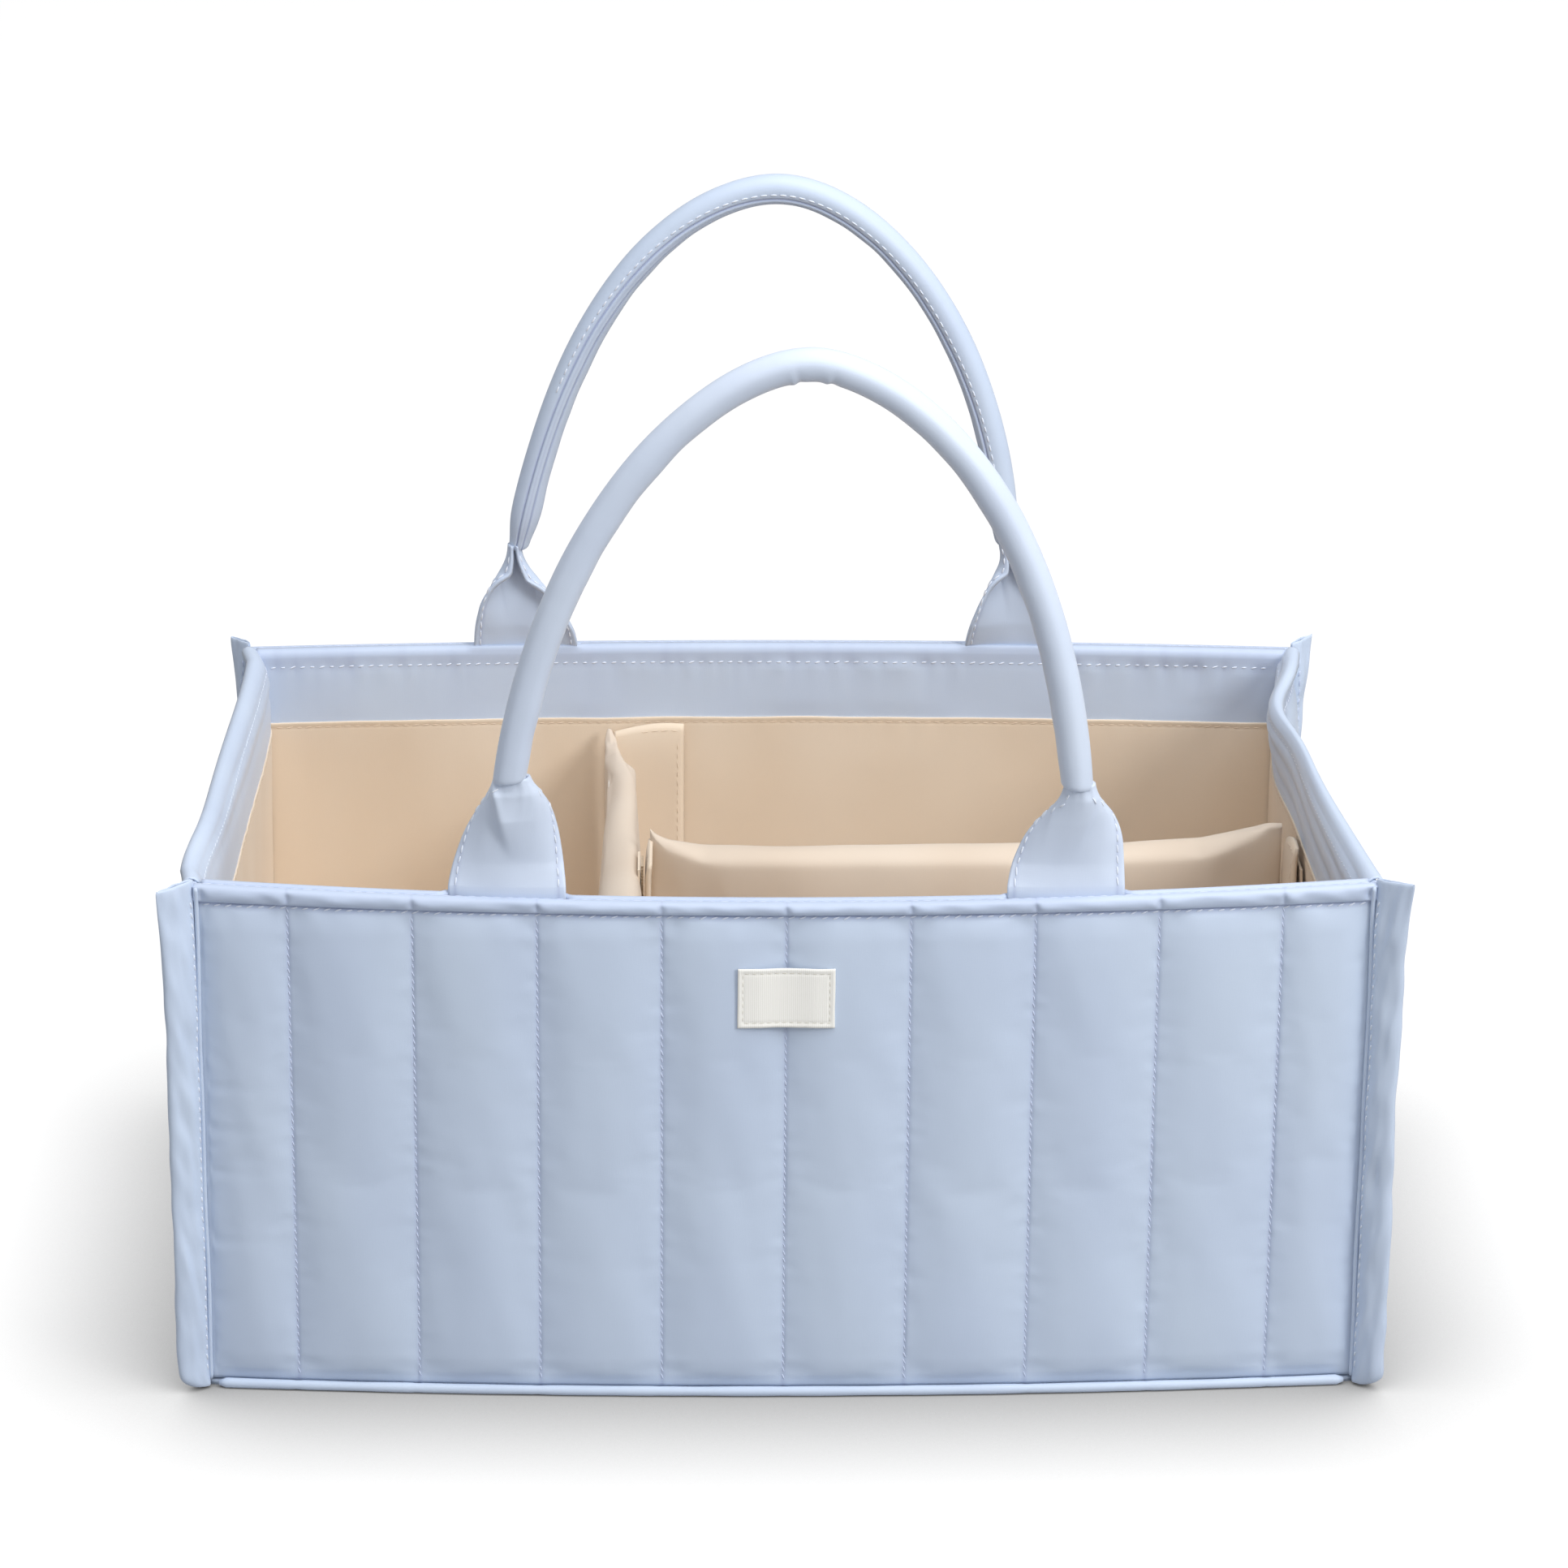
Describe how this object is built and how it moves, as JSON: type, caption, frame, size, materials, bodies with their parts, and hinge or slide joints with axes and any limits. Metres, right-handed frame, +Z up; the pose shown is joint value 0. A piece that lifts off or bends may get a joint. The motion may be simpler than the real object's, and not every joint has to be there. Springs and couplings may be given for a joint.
{
  "type": "diaper caddy",
  "caption": "Open quilted fabric caddy with stiffened walls, padded carry handles and lift-out dividers held by hook-and-loop flaps.",
  "frame": {"origin": "middle of the footprint, on the surface that the caddy stands on", "axes": "+X to the right along the long walls, +Y to the back, +Z up; the labelled wall faces -Y"},
  "size_m": [0.397, 0.2649, 0.3514],
  "materials": {
    "periwinkle_cotton": "satin",
    "cream_cotton": "satin",
    "ivory_tape": "matte",
    "grey_board": "matte",
    "white_foam": "matte"
  },
  "bodies": {
    "caddy": {"front_quilted_panel": "periwinkle_cotton", "front_board": "grey_board", "front_facing": "periwinkle_cotton", "front_lining": "cream_cotton", "front_base_piping": "periwinkle_cotton", "back_quilted_panel": "periwinkle_cotton", "back_board": "grey_board", "back_facing": "periwinkle_cotton", "back_lining": "cream_cotton", "back_base_piping": "periwinkle_cotton", "left_quilted_panel": "periwinkle_cotton", "left_foam": "white_foam", "left_facing": "periwinkle_cotton", "left_lining": "cream_cotton", "left_base_piping": "periwinkle_cotton", "right_quilted_panel": "periwinkle_cotton", "right_foam": "white_foam", "right_facing": "periwinkle_cotton", "right_lining": "cream_cotton", "right_base_piping": "periwinkle_cotton", "base_cover": "periwinkle_cotton", "base_board": "grey_board", "base_lining": "cream_cotton", "front_left_corner_flange": "periwinkle_cotton", "front_right_corner_flange": "periwinkle_cotton", "back_left_corner_flange": "periwinkle_cotton", "back_right_corner_flange": "periwinkle_cotton", "front_label": "ivory_tape", "front_wall_loop_tape": "cream_cotton", "back_wall_loop_tape": "cream_cotton", "right_wall_loop_tape": "cream_cotton", "front_handle_left_root": "periwinkle_cotton", "front_handle_right_root": "periwinkle_cotton", "back_handle_left_root": "periwinkle_cotton", "back_handle_right_root": "periwinkle_cotton"},
    "front_handle": {"front_handle_cover": "periwinkle_cotton", "front_handle_core": "white_foam", "front_handle_left_tab": "periwinkle_cotton", "front_handle_right_tab": "periwinkle_cotton"},
    "back_handle": {"back_handle_cover": "periwinkle_cotton", "back_handle_core": "white_foam", "back_handle_left_tab": "periwinkle_cotton", "back_handle_right_tab": "periwinkle_cotton"},
    "cross_divider": {"cross_divider_cover": "cream_cotton", "cross_divider_board": "white_foam", "cross_divider_loop_tape": "cream_cotton"},
    "long_divider": {"long_divider_cover": "cream_cotton", "long_divider_board": "white_foam"},
    "cross_back_flap": {"cross_divider_back_flap": "cream_cotton", "cross_divider_back_hook_tape": "ivory_tape"},
    "cross_front_flap": {"cross_divider_front_flap": "cream_cotton", "cross_divider_front_hook_tape": "ivory_tape"},
    "long_left_flap": {"long_divider_left_flap": "cream_cotton", "long_divider_left_hook_tape": "ivory_tape"},
    "long_right_flap": {"long_divider_right_flap": "cream_cotton", "long_divider_right_hook_tape": "ivory_tape"}
  },
  "joints": [
    {"name": "front_handle_swing", "type": "hinge", "parent": "caddy", "child": "front_handle", "pos_m": [0, -0.12273, 0.18491], "axis": [1, 0, 0], "range_deg": [-46, 140]},
    {"name": "back_handle_swing", "type": "hinge", "parent": "caddy", "child": "back_handle", "pos_m": [0, 0.12273, 0.18491], "axis": [-1, 0, 0], "range_deg": [-46, 140]},
    {"name": "cross_divider_lift", "type": "slide", "parent": "caddy", "child": "cross_divider", "axis": [0, 0, 1], "range_m": [0, 0.16]},
    {"name": "long_divider_lift", "type": "slide", "parent": "caddy", "child": "long_divider", "axis": [0, 0, 1], "range_m": [0, 0.16]},
    {"name": "cross_back_flap_peel", "type": "hinge", "parent": "cross_divider", "child": "cross_back_flap", "pos_m": [-0.04657, 0.11745, 0.0737], "axis": [0, 0, -1], "range_deg": [0, 90]},
    {"name": "cross_front_flap_peel", "type": "hinge", "parent": "cross_divider", "child": "cross_front_flap", "pos_m": [-0.04657, -0.11745, 0.0737], "axis": [0, 0, 1], "range_deg": [0, 90]},
    {"name": "long_left_flap_peel", "type": "hinge", "parent": "long_divider", "child": "long_left_flap", "pos_m": [-0.0447, -0.00343, 0.0737], "axis": [0, 0, 1], "range_deg": [0, 90]},
    {"name": "long_right_flap_peel", "type": "hinge", "parent": "long_divider", "child": "long_right_flap", "pos_m": [0.1739, -0.00343, 0.0737], "axis": [0, 0, -1], "range_deg": [0, 90]}
  ]
}
